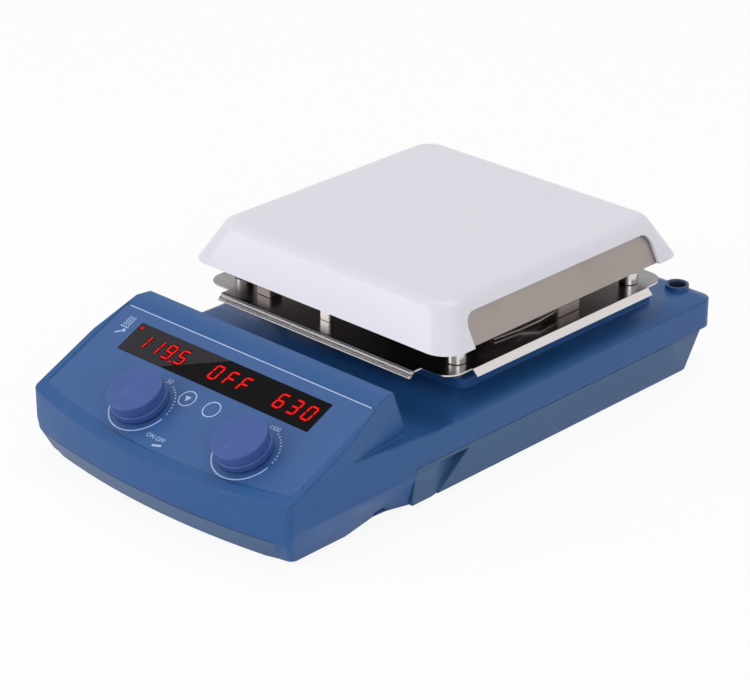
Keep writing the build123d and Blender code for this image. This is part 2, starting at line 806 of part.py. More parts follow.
with BuildPart() as heat_shield:
    with BuildSketch(Plane.XY.offset(shield_top - shield_sheet)):
        with Locations((0, plate_y)):
            RectangleRounded(2 * shield_corner_half, 2 * shield_back_half, shield_corner)
            Rectangle(2 * shield_half, 2 * flange_half)
            with Locations((0, (shield_half - shield_front) / 2)):
                Rectangle(2 * flange_half, shield_half + shield_front)
            Circle(drive_radius + 3, mode=Mode.SUBTRACT)
    extrude(amount=shield_sheet)
    for turn, reach in ((0, shield_half), (90, shield_half), (180, shield_half), (270, shield_front)):
        side_plane = Plane(origin=(0, plate_y, 0), x_dir=(1, 0, 0), z_dir=(0, 0, 1)).rotated((0, 0, turn))
        edge = Plane(origin=side_plane.origin, x_dir=side_plane.x_dir, z_dir=-side_plane.y_dir)
        with BuildSketch(edge.offset(-flange_half)):
            with BuildLine():
                Polyline((reach - 2, shield_top), (reach, shield_top),
                         (reach + flange_drop, shield_top - flange_drop),
                         (reach + flange_drop - shield_sheet, shield_top - flange_drop - 0.5),
                         (reach - 0.5, shield_top - shield_sheet), (reach - 2, shield_top - shield_sheet),
                         close=True)
            make_face()
        extrude(amount=2 * flange_half)
finish("heat_shield", heat_shield)

with BuildPart() as shield_standoffs:
    with BuildSketch(Plane.XY.offset(pad_z)):
        with Locations((0, plate_y)):
            with GridLocations(2 * standoff_x, 2 * standoff_reach, 2, 2):
                RegularPolygon(standoff_radius, 6)
    extrude(amount=shield_top - shield_sheet - pad_z)
finish("shield_standoffs", shield_standoffs)

with BuildPart() as shield_screws:
    with BuildSketch(Plane.XY.offset(shield_top)):
        with Locations((0, plate_y)):
            with GridLocations(2 * standoff_x, 2 * standoff_reach, 2, 2):
                Circle(screw_head_radius)
    extrude(amount=screw_head)
    chamfer(shield_screws.faces().group_by(Axis.Z)[-1].edges(), length=0.5)
finish("shield_screws", shield_screws)

# Stirring drive: motor on its bracket, and the shaft that turns the magnets under the pan
with BuildPart() as motor_bracket:
    with BuildSketch(Plane.XY.offset(motor_top)):
        with Locations((0, plate_y)):
            RectangleRounded(2 * bracket_half, 2 * bracket_half, 6)
            Circle(hub_radius, mode=Mode.SUBTRACT)
            with GridLocations(2 * bracket_post, 2 * bracket_post, 2, 2):
                Circle(screw_radius + part_gap, mode=Mode.SUBTRACT)
    extrude(amount=bracket_thickness)
finish("motor_bracket", motor_bracket)

with BuildPart() as stir_motor:
    with BuildSketch(Plane.XY.offset(motor_top - motor_height)):
        with Locations((0, plate_y)):
            Circle(motor_radius)
    extrude(amount=motor_height)
    chamfer(stir_motor.faces().sort_by(Axis.Z)[0].edges(), length=1.5)
    with BuildSketch(Plane.XY.offset(motor_top)):
        with Locations((0, plate_y)):
            Circle(hub_radius - part_gap)
    extrude(amount=bracket_thickness + 1)
    with BuildSketch(Plane.XY.offset(motor_top - motor_height + wall)):
        with Locations((0, plate_y)):
            Circle(drive_radius + running_gap)
    extrude(amount=2 * motor_height, mode=Mode.SUBTRACT)
finish("stir_motor", stir_motor)

with BuildPart() as drive_shaft:
    with BuildSketch(Plane.XY.offset(motor_top - motor_height + wall + part_gap)):
        with Locations((0, plate_y)):
            Circle(drive_radius)
    extrude(amount=yoke_z - motor_top + motor_height - wall - part_gap)
finish("drive_shaft", drive_shaft)

with BuildPart() as magnet_yoke:
    with BuildSketch(Plane.XY.offset(yoke_z)):
        with Locations((0, plate_y)):
            SlotOverall(yoke_length, yoke_width)
    extrude(amount=yoke_thickness)
finish("magnet_yoke", magnet_yoke)

with BuildPart() as stir_magnets:
    with BuildSketch(Plane.XY.offset(yoke_z + yoke_thickness)):
        for side in (-1, 1):
            with Locations((side * magnet_reach, plate_y)):
                Circle(magnet_radius)
    extrude(amount=magnet_height)
    chamfer(stir_magnets.faces().group_by(Axis.Z)[-1].edges(), length=0.6)
finish("stir_magnets", stir_magnets)

# Support rod socket: a steel insert in the collar of the deck
with BuildPart() as rod_socket:
    with BuildSketch(Plane.XY.offset(deck_z + socket_collar_height)):
        with Locations((socket_x, socket_y)):
            Circle(socket_insert)
    extrude(amount=-socket_depth - socket_collar_height)
    with BuildSketch(Plane.XY.offset(deck_z + socket_collar_height)):
        with Locations((socket_x, socket_y)):
            Circle(socket_bore)
    extrude(amount=-socket_depth, mode=Mode.SUBTRACT)
    chamfer(rod_socket.faces().sort_by(Axis.Z)[-1].inner_wires().edges(), length=0.8)
finish("rod_socket", rod_socket)

# Rear connector panel with mains inlet, fuse, switch and probe socket
rear = Plane(origin=(0, body_back, bay_mid[1]), x_dir=(-1, 0, 0), z_dir=(0, 1, 0))
with BuildPart() as rear_panel:
    with BuildSketch(rear.offset(-rear_panel_thickness)):
        with Locations((-bay_mid[0], 0)):
            Rectangle(bay_width - part_gap, bay_height - part_gap)
        with Locations((-inlet_x, 0)):
            Rectangle(inlet_width + part_gap, inlet_height + part_gap, mode=Mode.SUBTRACT)
        with Locations((-switch_x, 0)):
            Rectangle(switch_width + part_gap, switch_tall + part_gap, mode=Mode.SUBTRACT)
        with Locations((-fuse_x, 0)):
            Circle(fuse_radius + part_gap / 2, mode=Mode.SUBTRACT)
        with Locations((-probe_x, 0)):
            Circle(probe_radius + part_gap / 2, mode=Mode.SUBTRACT)
    extrude(amount=rear_panel_thickness - part_gap / 2)
finish("rear_panel", rear_panel)

with BuildPart() as power_inlet:
    with BuildSketch(rear.offset(-inlet_depth)):
        with Locations((-inlet_x, 0)):
            Rectangle(inlet_width, inlet_height)
    extrude(amount=inlet_depth - part_gap / 2)
    with BuildSketch(rear.offset(-inlet_pocket)) as pocket:
        with Locations((-inlet_x, 0)):
            Rectangle(inlet_width - 4, inlet_height - 4)
        chamfer(pocket.vertices().group_by(Axis.Y)[-1], length=4)
    extrude(amount=inlet_pocket, mode=Mode.SUBTRACT)
    with BuildSketch(rear.offset(-inlet_pocket)):
        for pin_x, pin_z in ((-7, -1), (0, 3), (7, -1)):
            with Locations((pin_x - inlet_x, pin_z)):
                Rectangle(2, 4)
    extrude(amount=inlet_pocket - 3)
finish("power_inlet", power_inlet)

rocker_axis_y = body_back - rocker_setback
with BuildPart() as switch_body:
    with BuildSketch(rear.offset(-switch_depth)):
        with Locations((-switch_x, 0)):
            Rectangle(switch_width, switch_tall)
    extrude(amount=switch_depth - part_gap / 2)
    with BuildSketch(rear.offset(-switch_depth + 2)):
        with Locations((-switch_x, 0)):
            Rectangle(switch_width - 3, switch_tall - 3)
    extrude(amount=switch_depth, mode=Mode.SUBTRACT)
    with BuildSketch(Plane.YZ.offset(switch_x)):
        with Locations((rocker_axis_y, bay_mid[1])):
            Circle(rocker_pin + running_gap)
    extrude(amount=rocker_width / 2 + rocker_pin_reach + running_gap, both=True, mode=Mode.SUBTRACT)
finish("switch_body", switch_body)

with BuildPart() as switch_rocker:
    tilted = Plane(origin=(switch_x, rocker_axis_y, bay_mid[1]), x_dir=(0, 1, 0),
                   z_dir=(1, 0, 0)).rotated((rocker_tilt, 0, 0))
    with BuildSketch(tilted.offset(-rocker_width / 2)):
        with BuildLine():
            Polyline((-2, -rocker_tall / 2 + 2), (rocker_reach + 1, -rocker_tall / 2),
                     (rocker_reach, 0), (rocker_reach + 1, rocker_tall / 2), (-2, rocker_tall / 2 - 2),
                     close=True)
        make_face()
    extrude(amount=rocker_width)
    with BuildSketch(Plane.YZ.offset(switch_x)):
        with Locations((rocker_axis_y, bay_mid[1])):
            Circle(rocker_pin)
    extrude(amount=rocker_width / 2 + rocker_pin_reach, both=True)
finish("switch_rocker", switch_rocker)

with BuildPart() as fuse_holder:
    with BuildSketch(rear.offset(-fuse_depth)):
        with Locations((-fuse_x, 0)):
            Circle(fuse_radius)
    extrude(amount=fuse_depth - part_gap / 2)
    with BuildSketch(rear.offset(-1.2)):
        with Locations((-fuse_x, 0)):
            Rectangle(2 * fuse_radius - 3, 1.4)
    extrude(amount=1.2, mode=Mode.SUBTRACT)
finish("fuse_holder", fuse_holder)

with BuildPart() as probe_socket:
    with BuildSketch(rear.offset(-probe_depth)):
        with Locations((-probe_x, 0)):
            Circle(probe_radius)
    extrude(amount=probe_depth - part_gap / 2)
    with BuildSketch(rear.offset(-probe_pocket)):
        with Locations((-probe_x, 0)):
            Circle(probe_radius - 1.5)
    extrude(amount=probe_pocket, mode=Mode.SUBTRACT)
    with BuildSketch(rear.offset(-probe_pocket)):
        with Locations((-probe_x, 0)):
            with PolarLocations(probe_radius - 4, 5, start_angle=-30, angular_range=240):
                Circle(0.6)
    extrude(amount=probe_pocket - 2)
finish("probe_socket", probe_socket)

# Power board with its transformer and heat sink
with BuildPart() as power_board:
    with BuildSketch(Plane.XY.offset(power_board_z)):
        with Locations((0, power_board_y)):
            RectangleRounded(power_board_width, power_board_length, 2)
    extrude(amount=board_thickness)
finish("power_board", power_board)

board_top = power_board_z + board_thickness
with BuildPart() as transformer:
    with BuildSketch(Plane.XY.offset(board_top)):
        with Locations((transformer_in - power_board_width / 2, power_board_y)):
            RectangleRounded(transformer_width, transformer_length, 2)
    extrude(amount=transformer_height)
finish("transformer", transformer)

with BuildPart() as heat_sink:
    with BuildSketch(Plane.XY.offset(board_top)):
        with Locations((power_board_width / 2 - sink_in, power_board_y)):
            Rectangle(sink_fins * sink_pitch - sink_fin, sink_web)
            with GridLocations(sink_pitch, 1, sink_fins, 1):
                Rectangle(sink_fin, sink_length)
    extrude(amount=sink_height)
finish("heat_sink", heat_sink)

# Feet and screws
with BuildPart() as rubber_feet:
    with BuildSketch(Plane.XY):
        with Locations(foot_places):
            Circle(foot_radius)
    extrude(amount=base_bottom + foot_pocket)
    chamfer(rubber_feet.faces().group_by(Axis.Z)[0].edges(), length=0.6)
finish("rubber_feet", rubber_feet)

with BuildPart() as base_screws:
    with BuildSketch(Plane.XY.offset(base_bottom + 0.4)):
        with Locations(screw_places):
            Circle(screw_head_radius)
    extrude(amount=screw_head - 0.4)
    with BuildSketch(Plane.XY.offset(base_bottom + screw_head)):
        with Locations(screw_places):
            Circle(screw_radius)
    extrude(amount=screw_length)
finish("base_screws", base_screws)
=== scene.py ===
import json
import math

import bmesh
import bpy
from mathutils import Matrix, Vector


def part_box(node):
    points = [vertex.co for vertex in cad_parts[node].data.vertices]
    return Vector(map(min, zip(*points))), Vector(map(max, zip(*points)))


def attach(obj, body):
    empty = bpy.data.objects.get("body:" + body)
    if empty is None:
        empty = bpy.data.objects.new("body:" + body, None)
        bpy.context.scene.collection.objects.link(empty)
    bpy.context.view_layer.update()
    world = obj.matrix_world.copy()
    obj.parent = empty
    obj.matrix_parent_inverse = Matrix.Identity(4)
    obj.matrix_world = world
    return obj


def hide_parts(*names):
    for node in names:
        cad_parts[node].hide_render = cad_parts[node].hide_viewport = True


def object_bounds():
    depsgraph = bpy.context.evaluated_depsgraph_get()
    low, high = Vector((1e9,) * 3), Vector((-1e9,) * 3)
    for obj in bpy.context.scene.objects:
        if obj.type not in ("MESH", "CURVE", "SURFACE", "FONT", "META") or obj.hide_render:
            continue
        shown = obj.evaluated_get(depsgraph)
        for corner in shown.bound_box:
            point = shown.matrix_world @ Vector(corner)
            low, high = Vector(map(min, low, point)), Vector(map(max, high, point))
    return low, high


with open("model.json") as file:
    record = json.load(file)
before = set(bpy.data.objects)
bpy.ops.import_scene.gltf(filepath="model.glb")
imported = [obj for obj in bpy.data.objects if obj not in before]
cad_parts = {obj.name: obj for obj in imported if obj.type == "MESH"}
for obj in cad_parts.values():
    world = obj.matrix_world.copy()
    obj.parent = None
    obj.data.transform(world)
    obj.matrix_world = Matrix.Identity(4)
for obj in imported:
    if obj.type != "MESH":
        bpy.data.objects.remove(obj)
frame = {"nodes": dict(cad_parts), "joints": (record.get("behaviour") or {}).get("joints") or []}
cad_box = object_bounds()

nodes = frame["nodes"]
joints = {joint["name"]: joint for joint in frame["joints"]}


# Camera

def set_camera(azimuth, elevation, stand, lens):
    """A level camera standing at one point, looking down along one line of sight."""
    a, e = math.radians(azimuth), math.radians(elevation)
    back = Vector((math.sin(a) * math.cos(e), -math.cos(a) * math.cos(e), math.sin(e)))
    right = Vector((math.cos(a), math.sin(a), 0.0))
    up = back.cross(right)
    data = bpy.data.cameras.new("photo_camera")
    data.sensor_width = 36.0
    data.lens = lens
    data.clip_start = 0.05
    data.clip_end = 50.0
    camera = bpy.data.objects.new("photo_camera", data)
    camera.matrix_world = Matrix.Translation(stand) @ Matrix((
        (right.x, up.x, back.x, 0.0),
        (right.y, up.y, back.y, 0.0),
        (right.z, up.z, back.z, 0.0),
        (0.0, 0.0, 0.0, 1.0)))
    bpy.context.scene.collection.objects.link(camera)
    bpy.context.scene.camera = camera


set_camera(43.83, 25.24, Vector((1.0486, -1.0954, 0.7531)), 132.9)


# Shader tools

def plain(red, green, blue):
    """A screen colour, 0 to 255, as the light values that a shader takes."""
    out = []
    for part in (red, green, blue):
        c = part / 255.0
        out.append(c / 12.92 if c <= 0.04045 else ((c + 0.055) / 1.055) ** 2.4)
    return tuple(out) + (1.0,)


class Value:
    """A number that changes over a surface, for use in plain arithmetic."""

    def __init__(self, tree, socket):
        self.tree = tree
        self.socket = socket

    def work(self, operation, *others, clamp=False):
        """One math node on this number and the others."""
        node = self.tree.nodes.new("ShaderNodeMath")
        node.operation = operation
        node.use_clamp = clamp
        for slot, value in zip(node.inputs, (self,) + others):
            if isinstance(value, Value):
                self.tree.links.new(value.socket, slot)
            else:
                slot.default_value = value
        return Value(self.tree, node.outputs[0])

    def __add__(self, other):
        return self.work("ADD", other)

    __radd__ = __add__

    def __sub__(self, other):
        return self.work("SUBTRACT", other)

    def __rsub__(self, other):
        return self.work("MULTIPLY_ADD", -1.0, other)

    def __mul__(self, other):
        return self.work("MULTIPLY", other)

    __rmul__ = __mul__

    def step(self, low, high):
        """0 below low, 1 above high, a soft rise between; low above high turns it round."""
        node = self.tree.nodes.new("ShaderNodeMapRange")
        node.interpolation_type = "SMOOTHSTEP"
        self.tree.links.new(self.socket, node.inputs["Value"])
        node.inputs["From Min"].default_value = min(low, high)
        node.inputs["From Max"].default_value = max(low, high)
        node.inputs["To Min"].default_value = 0.0 if low < high else 1.0
        node.inputs["To Max"].default_value = 1.0 if low < high else 0.0
        return Value(self.tree, node.outputs["Result"])

    def limit(self):
        """The number kept between 0 and 1."""
        return self.work("ADD", 0.0, clamp=True)


class Finish:
    """One finish: a material, its main shader, and short ways to build on it."""

    def __init__(self, name, colour, roughness, **fixed):
        self.material = bpy.data.materials.new(name)
        self.material.use_nodes = True
        self.tree = self.material.node_tree
        self.shader = self.tree.nodes["Principled BSDF"]
        self.set("Base Color", colour)
        self.set("Roughness", roughness)
        for socket, value in fixed.items():
            self.set(socket.replace("_", " "), value)
        self.place = self.node("ShaderNodeTexCoord").outputs["Object"]

    def set(self, socket, value):
        """Gives a socket of the main shader a constant or a link."""
        slot = self.shader.inputs[socket]
        if isinstance(value, Value):
            self.tree.links.new(value.socket, slot)
        elif isinstance(value, bpy.types.NodeSocket):
            self.tree.links.new(value, slot)
        else:
            slot.default_value = value

    def node(self, kind, settings=None, sockets=None):
        """Adds a node: its settings first, then the values or links of its sockets."""
        node = self.tree.nodes.new(kind)
        for key, value in (settings or {}).items():
            setattr(node, key, value)
        for key, value in (sockets or {}).items():
            slot = node.inputs[key]
            if isinstance(value, Value):
                self.tree.links.new(value.socket, slot)
            elif isinstance(value, bpy.types.NodeSocket):
                self.tree.links.new(value, slot)
            else:
                slot.default_value = value
        return node

    def value(self, socket):
        return Value(self.tree, socket)

    def axes(self):
        """The point's x, y and z on the object, in metres."""
        split = self.node("ShaderNodeSeparateXYZ", sockets={0: self.place})
        return tuple(self.value(out) for out in split.outputs)

    def noise(self, scale, detail=3.0, roughness=0.5, stretch=(1.0, 1.0, 1.0), shift=0.0):
        """Cloudy noise from 0 to 1; scale is in cycles per metre."""
        lay = self.node("ShaderNodeMapping", sockets={
            "Vector": self.place, "Scale": stretch, "Location": (shift, shift * 0.7, -shift)})
        cloud = self.node("ShaderNodeTexNoise", sockets={
            "Vector": lay.outputs[0], "Scale": scale, "Detail": detail, "Roughness": roughness})
        return self.value(cloud.outputs[0])

    def blend(self, first, second, factor):
        """A colour between two colours."""
        mix = self.node("ShaderNodeMix", {"data_type": "RGBA"}, {
            "Factor": factor, 6: first, 7: second})
        return mix.outputs[2]

    def edge(self, radius, low=0.02, high=0.25):
        """Close to 1 at sharp edges and corners, 0 on open faces."""
        soft = self.node("ShaderNodeBevel", {"samples": 4}, {"Radius": radius})
        flat = self.node("ShaderNodeNewGeometry")
        both = self.node("ShaderNodeVectorMath", {"operation": "DOT_PRODUCT"}, {
            0: soft.outputs[0], 1: flat.outputs["Normal"]})
        return (1.0 - self.value(both.outputs["Value"])).step(low, high)

    def bump(self, height, depth, strength=1.0, rounded=0.0):
        """Raises the surface by height times depth; rounded also softens sharp edges."""
        sockets = {"Height": height, "Distance": depth, "Strength": strength}
        if rounded:
            sockets["Normal"] = self.node(
                "ShaderNodeBevel", {"samples": 4}, {"Radius": rounded}).outputs[0]
        self.set("Normal", self.node("ShaderNodeBump", sockets=sockets).outputs[0])

    def glow(self, colour, strength):
        """Light of its own, for lit figures."""
        self.set("Emission Color", colour)
        self.set("Emission Strength", strength)


# Finishes

brushing_depth = 0.000004


def moulded(name, colour, pale, roughness, grain=0.00002, rounded=0.0006):
    """A moulded or painted shell: fine grain, faint clouding, smudges, and sharp edges paler in patches,
    partly rubbed paint and partly a painted highlight.
    """
    finish = Finish(name, colour, roughness, Specular_IOR_Level=0.3)
    cloud = finish.noise(14.0, 4.0, 0.6)
    grain_height = finish.noise(2600.0, 2.0, 0.6)
    smudge = finish.noise(46.0, 5.0, 0.65, shift=3.0).step(0.52, 0.75)
    # Paler sharp edges in patches: partly rubbed paint, partly a painted highlight along the edges.
    edge_wear_and_highlight = finish.edge(0.0007) * finish.noise(160.0, 3.0).step(0.30, 0.62)
    tone = finish.blend(colour, pale, (cloud * 0.12 + edge_wear_and_highlight * 0.8 + smudge * 0.05).limit())
    finish.set("Base Color", tone)
    finish.set("Roughness", roughness + cloud * 0.07 - smudge * 0.06 + grain_height * 0.03)
    finish.bump(grain_height, grain, 0.5, rounded)
    return finish


def brushed(name, colour, roughness, stretch):
    """Steel or aluminium with fine brushing along one way, faint stains and handling marks."""
    finish = Finish(name, colour, roughness, Metallic=1.0)
    lines = finish.noise(900.0, 3.0, 0.6, stretch)
    stain = finish.noise(30.0, 4.0, 0.6, shift=5.0).step(0.45, 0.8)
    shade = (lines * 0.25 + stain * 0.3).limit()
    finish.set("Base Color", finish.blend(colour, plain(150, 143, 138), shade))
    finish.set("Roughness", roughness + lines * 0.12 + stain * 0.08)
    finish.bump(lines, brushing_depth, 0.6)
    return finish


def enamel(name, colour):
    """Glazed plate: smooth white glass with a very faint ripple, specks and a few dull rub marks."""
    finish = Finish(name, colour, 0.22, Coat_Roughness=0.08)
    ripple = finish.noise(60.0, 2.0, 0.4)
    speck = finish.noise(700.0, 2.0, 0.7).step(0.74, 0.80)
    rub = finish.noise(24.0, 5.0, 0.7, shift=2.0).step(0.50, 0.80)
    dull = (speck * 0.25 + rub * 0.10).limit()
    finish.set("Base Color", finish.blend(colour, plain(205, 203, 212), dull))
    finish.set("Roughness", 0.30 + rub * 0.14 + speck * 0.1)
    finish.set("Coat Weight", 0.08)
    finish.bump(ripple, 0.00012, 0.35)
    return finish


def film(name, colour, pale):
    """The printed panel film: satin, a hair finer than the shell round it."""
    finish = Finish(name, colour, 0.42, Specular_IOR_Level=0.35)
    cloud = finish.noise(20.0, 3.0)
    weave = finish.noise(3400.0, 1.0, 0.5)
    touch = finish.noise(55.0, 4.0, 0.7, shift=4.0).step(0.55, 0.8)
    finish.set("Base Color", finish.blend(colour, pale, (cloud * 0.25 + touch * 0.06).limit()))
    finish.set("Roughness", 0.40 + cloud * 0.06 + touch * 0.06)
    finish.bump(weave, 0.000008, 0.5)
    return finish


blue = plain(34, 84, 143)
blue_pale = plain(82, 122, 176)
finishes = {
    "blue_paint": moulded("blue_paint", blue, blue_pale, 0.34, rounded=0.0022),
    "blue_plastic": moulded("blue_plastic", plain(56, 92, 134), plain(98, 124, 160), 0.38, rounded=0.0016),
    "panel_film": film("panel_film", plain(52, 90, 146), plain(84, 118, 172)),
    "knob_plastic": moulded("knob_plastic", plain(62, 88, 152), plain(100, 124, 182), 0.38, grain=0.00001),
    "black_plastic": moulded("black_plastic", plain(26, 27, 30), plain(58, 60, 66), 0.40),
    "steel": brushed("steel", plain(196, 192, 188), 0.30, (1.0, 1.0, 0.05)),
    "polished_steel": brushed("polished_steel", plain(226, 221, 220), 0.14, (0.05, 1.0, 1.0)),
    "satin_steel": brushed("satin_steel", plain(164, 154, 150), 0.34, (1.0, 0.04, 1.0)),
    "white_enamel": enamel("white_enamel", plain(228, 226, 236)),
    "bare_aluminium": brushed("bare_aluminium", plain(188, 190, 194), 0.38, (1.0, 1.0, 0.06)),
    "magnet_nickel": brushed("magnet_nickel", plain(205, 200, 190), 0.18, (1.0, 1.0, 0.1)),
}


def rubber_finish():
    """Black rubber with pale dust."""
    finish = Finish("foot_rubber", plain(30, 30, 32), 0.78)
    dust = finish.noise(220.0, 4.0, 0.7)
    finish.set("Base Color", finish.blend(plain(26, 26, 28), plain(74, 72, 70), dust.step(0.48, 0.8) * 0.5))
    finish.set("Roughness", 0.70 + dust * 0.2)
    finish.bump(finish.noise(1800.0, 2.0), 0.00003, 0.6)
    return finish


def board_finish():
    """Green solder mask with lighter tracks under it."""
    finish = Finish("circuit_board", plain(24, 74, 52), 0.35)
    x = finish.axes()[0]
    across = (x * 520.0).work("FRACT").step(0.40, 0.46) * (x * 520.0).work("FRACT").step(0.60, 0.54)
    along = finish.noise(120.0, 0.0).step(0.50, 0.53)
    tracks = (across * along * 0.8).limit()
    finish.set("Base Color", finish.blend(plain(22, 68, 48), plain(52, 112, 78), tracks))
    finish.set("Roughness", 0.30 + along * 0.1)
    finish.bump(across * along, 0.00003, 0.4)
    return finish


def mica_finish():
    """Mica sheet of the heater, in flakes."""
    finish = Finish("heater_film", plain(150, 112, 66), 0.5)
    flake = finish.node("ShaderNodeTexVoronoi", sockets={"Vector": finish.place, "Scale": 180.0})
    tone = finish.value(flake.outputs["Distance"])
    finish.set("Base Color", finish.blend(plain(128, 92, 52), plain(182, 146, 92), (tone * 1.2).limit()))
    finish.set("Roughness", 0.42 + tone * 0.2)
    finish.bump(tone, 0.00005, 0.4)
    return finish


def mat_finish():
    """Pale fibre mat, drawn out along one way."""
    finish = Finish("fibre_mat", plain(216, 206, 186), 0.9)
    fibre = finish.noise(420.0, 6.0, 0.7, (1.0, 0.25, 1.0))
    finish.set("Base Color", finish.blend(plain(196, 184, 160), plain(230, 224, 208), fibre))
    finish.set("Roughness", 0.85 + fibre * 0.1)
    finish.bump(fibre, 0.0004, 0.8)
    return finish


finishes["foot_rubber"] = rubber_finish()
finishes["circuit_board"] = board_finish()
finishes["heater_film"] = mica_finish()
finishes["fibre_mat"] = mat_finish()


# The panel's own directions

turn = joints["temperature_turn"]
out_of_panel = Vector(turn["axis"]).normalized()
across_panel = Vector((1.0, 0.0, 0.0))
up_panel = out_of_panel.cross(across_panel).normalized()
knob_centres = {name: Vector(joints[name + "_turn"]["pos_m"]) for name in ("temperature", "speed")}
key_centres = {name: Vector(joints[name + "_key_press"]["pos_m"]) for name in ("select", "timer")}


def height_on_panel(name):
    """How far a node's highest point stands out from the panel, measured square to it."""
    level = knob_centres["temperature"]
    return max((v.co - level).dot(out_of_panel) for v in nodes[name].data.vertices)


film_top = height_on_panel("panel_overlay")
window_top = height_on_panel("display_window")
key_top = height_on_panel("select_key")
window_low, window_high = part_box("display_window")
window_middle = (window_low + window_high) / 2
window_middle -= out_of_panel * (window_middle - knob_centres["temperature"]).dot(out_of_panel)


def window_finish():
    """Smoked window: black, with a painted paler reflection over one end that stops on a slant."""
    finish = Finish("smoked_window", plain(12, 11, 13), 0.12, Specular_IOR_Level=0.06)
    x, y = finish.axes()[:2]
    # Painted reflection: a paler grey over one end of the window, edged on a slant.
    reflection_foot, reflection_head = window_low.x + 0.0373, window_low.x + 0.0771
    lean = (reflection_head - reflection_foot) / (window_high.y - window_low.y)
    painted_window_reflection = (x - (y - window_low.y) * lean).step(reflection_foot + 0.0008, reflection_foot - 0.0008)
    dust = finish.noise(260.0, 4.0, 0.7)
    # The painted reflection, with a little dust.
    reflection_and_dust = (painted_window_reflection * 0.93 + dust * 0.04).limit()
    finish.set("Base Color", finish.blend(plain(5, 4, 6), plain(52, 50, 54), reflection_and_dust))
    finish.set("Roughness", 0.16 + dust * 0.10)
    finish.bump(dust, 0.00001, 0.2)
    return finish


finishes["smoked_window"] = window_finish()

slot_of = {name: piece.data.materials[0].name.split(".")[0] for name, piece in nodes.items()}
for name, piece in nodes.items():
    piece.data.materials[0] = finishes[slot_of[name]].material


def shield_look():
    """Polished steel, with a painted dark reflection on its top under the plate and on its front flange,
    which faces the dark head; on the flange the painted reflection falls in bands of painted shade that
    stand in for its grooves.
    """
    finish = Finish("shield_steel", plain(214, 209, 208), 0.16, Metallic=1.0)
    lines = finish.noise(900.0, 3.0, 0.6, (0.05, 1.0, 1.0))
    y, z = finish.axes()[1:]
    low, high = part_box("heat_shield")
    # Painted dark reflection on the front flange and on the top under the plate.
    front = y.step(low.y + 0.0052, low.y + 0.0040)
    top = z.step(high.z - 0.0002, high.z - 0.00005)
    # Painted shade for the flange's grooves: darker bands up the flange.
    painted_groove_shade = (z * 3200.0 + lines).work("SINE").step(-0.2, 0.7)
    # The painted reflection and groove shade, with the brushing lines, pull the steel towards dark grey.
    shade = (front * (0.45 + painted_groove_shade * 0.4) + top * 0.6 + lines * 0.15).limit()
    finish.set("Base Color", finish.blend(plain(222, 217, 216), plain(62, 60, 64), shade))
    finish.set("Roughness", 0.14 + lines * 0.12)
    finish.bump(lines, brushing_depth, 0.6)
    return finish


nodes["heat_shield"].data.materials[0] = shield_look().material
socket_paint = moulded("socket_paint", plain(38, 52, 84), plain(84, 104, 140), 0.36)
nodes["rod_socket"].data.materials[0] = socket_paint.material


# The foot of the housing

cheek_top, band_top, foot_level = 0.022, 0.0154, 0.002
cheek_lean, band_lean = 0.0056, 0.0062
cheek_inside = 0.094
cheek_back = -0.0818
front_radius = 0.500
front_skin = 0.012
front_centre_y = cad_box[0].y + front_radius
weld = 0.000002
sharp_angle = math.radians(28)


def lean_in(name, slot):
    """A copy of a housing node whose cheeks and front band draw in towards the bench."""
    shape = bmesh.new()
    shape.from_mesh(nodes[name].data)
    bmesh.ops.remove_doubles(shape, verts=shape.verts[:], dist=weld)
    for level in (cheek_top, band_top):
        bmesh.ops.bisect_plane(shape, geom=shape.verts[:] + shape.edges[:] + shape.faces[:],
                               plane_co=(0.0, 0.0, level), plane_no=(0.0, 0.0, 1.0))
    for vert in shape.verts:
        x, y, z = vert.co
        if y > cheek_back:
            continue
        if abs(x) > cheek_inside and z < cheek_top:
            vert.co.x -= math.copysign(cheek_lean * (cheek_top - z) / (cheek_top - foot_level), x)
        if math.hypot(x, y - front_centre_y) > front_radius - front_skin and z < band_top:
            vert.co.y += band_lean * (band_top - z) / (band_top - foot_level)
    shape.normal_update()
    for edge in shape.edges:
        edge.smooth = len(edge.link_faces) == 2 and edge.calc_face_angle() < sharp_angle
    for face in shape.faces:
        face.smooth = True
    mesh = bpy.data.meshes.new(name + "_leaned")
    shape.to_mesh(mesh)
    shape.free()
    mesh.materials.append(finishes[slot].material)
    piece = bpy.data.objects.new(name + "_leaned", mesh)
    bpy.context.scene.collection.objects.link(piece)
    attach(piece, "housing")
    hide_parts(name)


lean_in("upper_housing", "blue_paint")
lean_in("lower_shell", "blue_plastic")


# Fittings between the shield and the pan

def box_piece(name, low, high, slot):
    """A small block with eased edges, given by two corners."""
    low, high = Vector(low), Vector(high)
    shape = bmesh.new()
    bmesh.ops.create_cube(shape, size=1.0)
    bmesh.ops.scale(shape, vec=high - low, verts=shape.verts[:])
    bmesh.ops.bevel(shape, geom=shape.edges[:], offset=0.0006, segments=2, affect="EDGES")
    mesh = bpy.data.meshes.new(name)
    shape.to_mesh(mesh)
    shape.free()
    mesh.materials.append(finishes[slot].material)
    piece = bpy.data.objects.new(name, mesh)
    piece.location = (low + high) / 2
    bpy.context.scene.collection.objects.link(piece)
    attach(piece, "housing")


